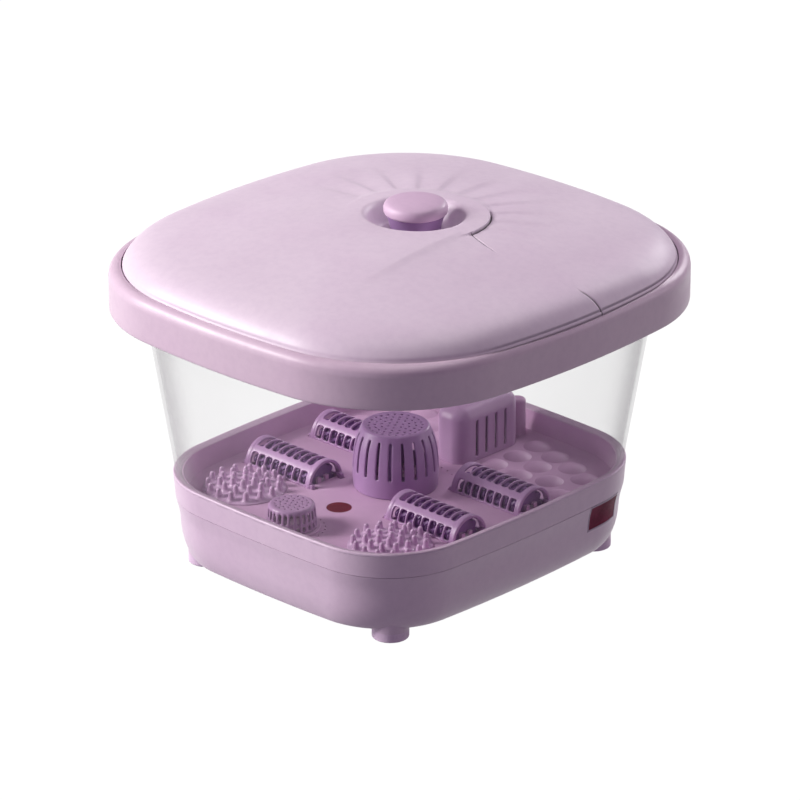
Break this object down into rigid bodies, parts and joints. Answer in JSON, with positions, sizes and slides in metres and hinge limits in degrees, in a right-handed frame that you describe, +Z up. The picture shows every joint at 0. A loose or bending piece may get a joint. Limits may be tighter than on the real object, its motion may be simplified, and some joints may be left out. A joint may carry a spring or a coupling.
{
  "type": "foot spa basin",
  "caption": "Foot spa basin with a clear flared wall, a thick rim and a lift-off pillow lid; its tub floor has caged massage rollers, spiked pads, a slotted spray post and a small herb cup.",
  "frame": {"origin": "centre of the footprint, on the surface the feet stand on", "axes": "+Z up, +Y towards the back (the slotted rear housing), -Y towards the herb cup, +X towards the side with the display window"},
  "size_m": [0.42, 0.444, 0.3192],
  "materials": {
    "shell_lilac": "satin",
    "floor_lilac": "satin",
    "lid_lilac": "satin",
    "knob_lilac": "satin",
    "roller_purple": "satin",
    "soft_lilac": "soft",
    "foot_rubber": "soft",
    "clear_wall": "clear moulded plastic",
    "red_lens": "dark red",
    "display_red": "dark red, glossy",
    "steel": "brushed",
    "seal_rubber": "soft",
    "board_green": "satin",
    "pump_grey": "satin",
    "hose_clear": "smooth",
    "wire_black": "smooth"
  },
  "bodies": {
    "basin": {"rubber_feet": "foot_rubber", "foot_screws": "steel", "base_lower_case": "shell_lilac", "display_window": "display_red", "display_bezel": "shell_lilac", "base_upper_case": "floor_lilac", "case_screws": "steel", "clear_wall": "clear_wall", "wall_seal_lower": "seal_rubber", "wall_seal_upper": "seal_rubber", "rim_ring": "shell_lilac", "rim_clamp_ring": "shell_lilac", "clamp_screws": "steel", "spike_pad_left": "soft_lilac", "spike_pad_right": "soft_lilac", "herb_cup_seat": "floor_lilac", "spray_seat": "floor_lilac", "spray_tube": "pump_grey", "infrared_lens": "red_lens", "infrared_board": "board_green", "rear_housing": "floor_lilac", "heater_element": "steel", "temperature_sensor": "steel", "level_sensor_column": "floor_lilac", "water_pump": "pump_grey", "air_pump": "pump_grey", "bubble_manifold": "pump_grey", "air_hose": "hose_clear", "control_board": "board_green", "display_board": "board_green", "cord_bush": "foot_rubber", "wiring_harness": "wire_black", "roller_cage_front_left": "floor_lilac", "roller_cage_front_right": "floor_lilac", "roller_cage_rear_left": "floor_lilac", "roller_cage_rear_right": "floor_lilac"},
    "lid": {"lid_cover": "lid_lilac", "lid_liner": "lid_lilac", "lid_seal": "seal_rubber", "knob_stem": "knob_lilac", "knob_cap": "knob_lilac", "knob_washer": "steel", "knob_screw": "steel"},
    "herb_cup": {"herb_cup": "floor_lilac"},
    "spray_cover": {"spray_cover": "floor_lilac"},
    "roller_front_left": {"massage_roller_front_left": "roller_purple", "roller_axle_front_left": "steel"},
    "roller_front_right": {"massage_roller_front_right": "roller_purple", "roller_axle_front_right": "steel"},
    "roller_rear_left": {"massage_roller_rear_left": "roller_purple", "roller_axle_rear_left": "steel"},
    "roller_rear_right": {"massage_roller_rear_right": "roller_purple", "roller_axle_rear_right": "steel"}
  },
  "joints": [
    {"name": "lid_lift", "type": "slide", "parent": "basin", "child": "lid", "axis": [0, 0, 1], "range_m": [0, 0.15]},
    {"name": "herb_cup_lift", "type": "slide", "parent": "basin", "child": "herb_cup", "axis": [0, 0, 1], "range_m": [0, 0.05]},
    {"name": "spray_cover_lift", "type": "slide", "parent": "basin", "child": "spray_cover", "axis": [0, 0, 1], "range_m": [0, 0.08]},
    {"name": "roller_front_left_spin", "type": "hinge", "parent": "basin", "child": "roller_front_left", "pos_m": [-0.084, -0.045, 0.067], "axis": [1, 0, 0], "continuous": true},
    {"name": "roller_front_right_spin", "type": "hinge", "parent": "basin", "child": "roller_front_right", "pos_m": [0.084, -0.045, 0.067], "axis": [1, 0, 0], "continuous": true},
    {"name": "roller_rear_left_spin", "type": "hinge", "parent": "basin", "child": "roller_rear_left", "pos_m": [-0.084, 0.035, 0.067], "axis": [1, 0, 0], "continuous": true},
    {"name": "roller_rear_right_spin", "type": "hinge", "parent": "basin", "child": "roller_rear_right", "pos_m": [0.084, 0.035, 0.067], "axis": [1, 0, 0], "continuous": true}
  ]
}
